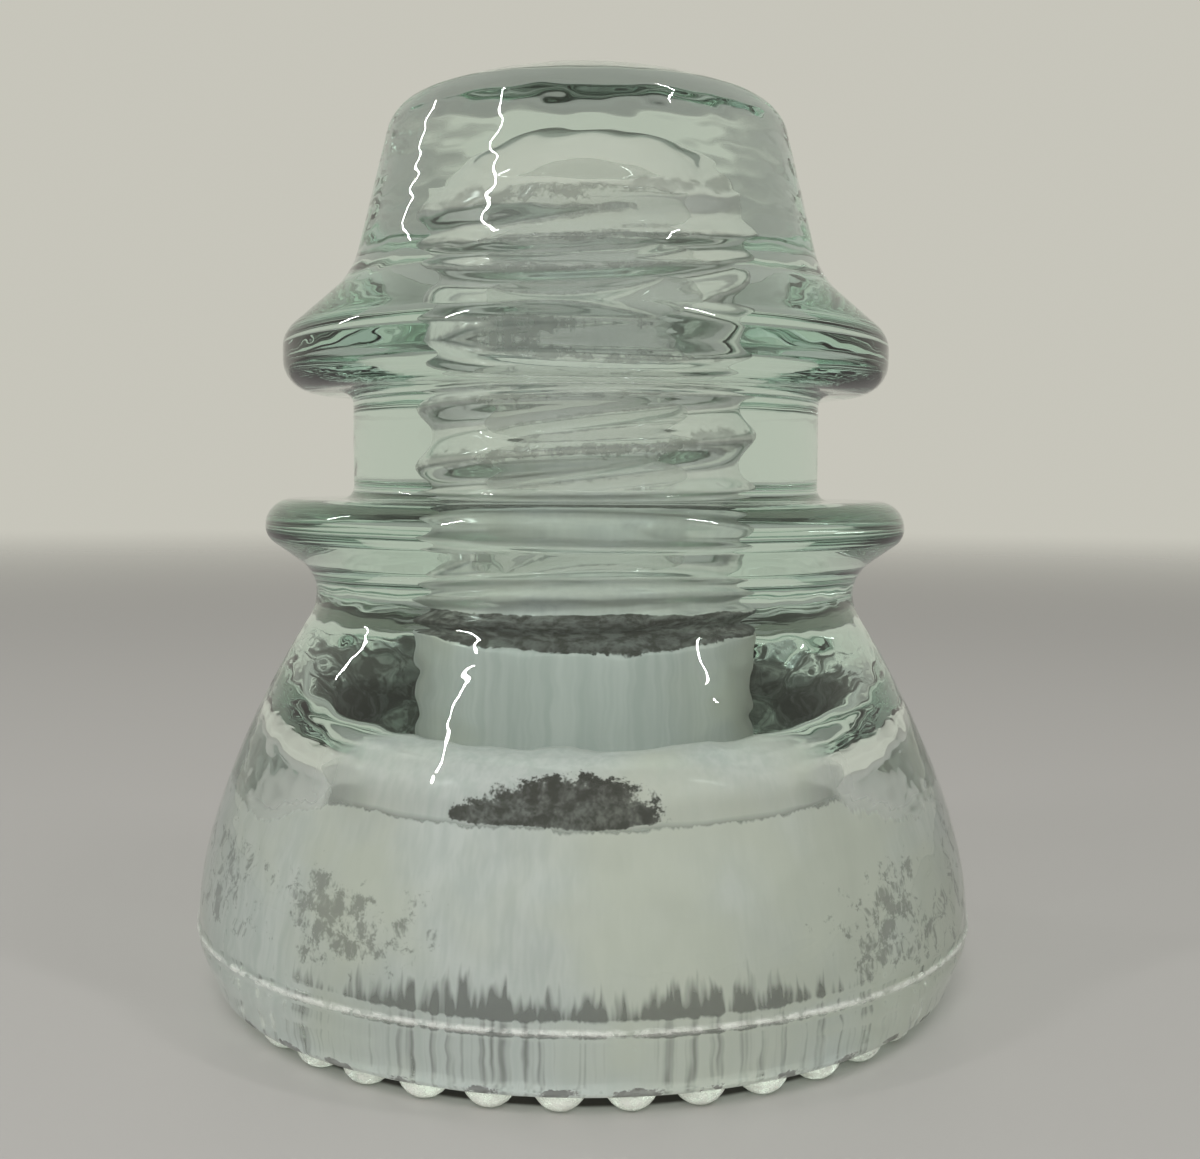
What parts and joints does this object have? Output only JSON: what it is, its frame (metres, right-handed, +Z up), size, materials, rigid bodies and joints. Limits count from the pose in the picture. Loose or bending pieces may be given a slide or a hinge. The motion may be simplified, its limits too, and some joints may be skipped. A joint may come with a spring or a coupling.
{
  "type": "glass insulator",
  "caption": "Pale green pressed glass pin insulator: domed crown, wire groove between two lips, flared double petticoat skirt with drip beads and a threaded pinhole.",
  "frame": {"origin": "centre of the circle of drip beads that it stands on, at the bottom of the beads", "axes": "+Z up along the pinhole's axis to the crown; the insulator is round about it, and -Y faces the viewer of the picture"},
  "size_m": [0.086, 0.086, 0.1016],
  "materials": {
    "glass": "clear pale green pressed glass, glossy, lightly weathered"
  },
  "bodies": {
    "root": {"glass_insulator": "glass"}
  },
  "joints": []
}
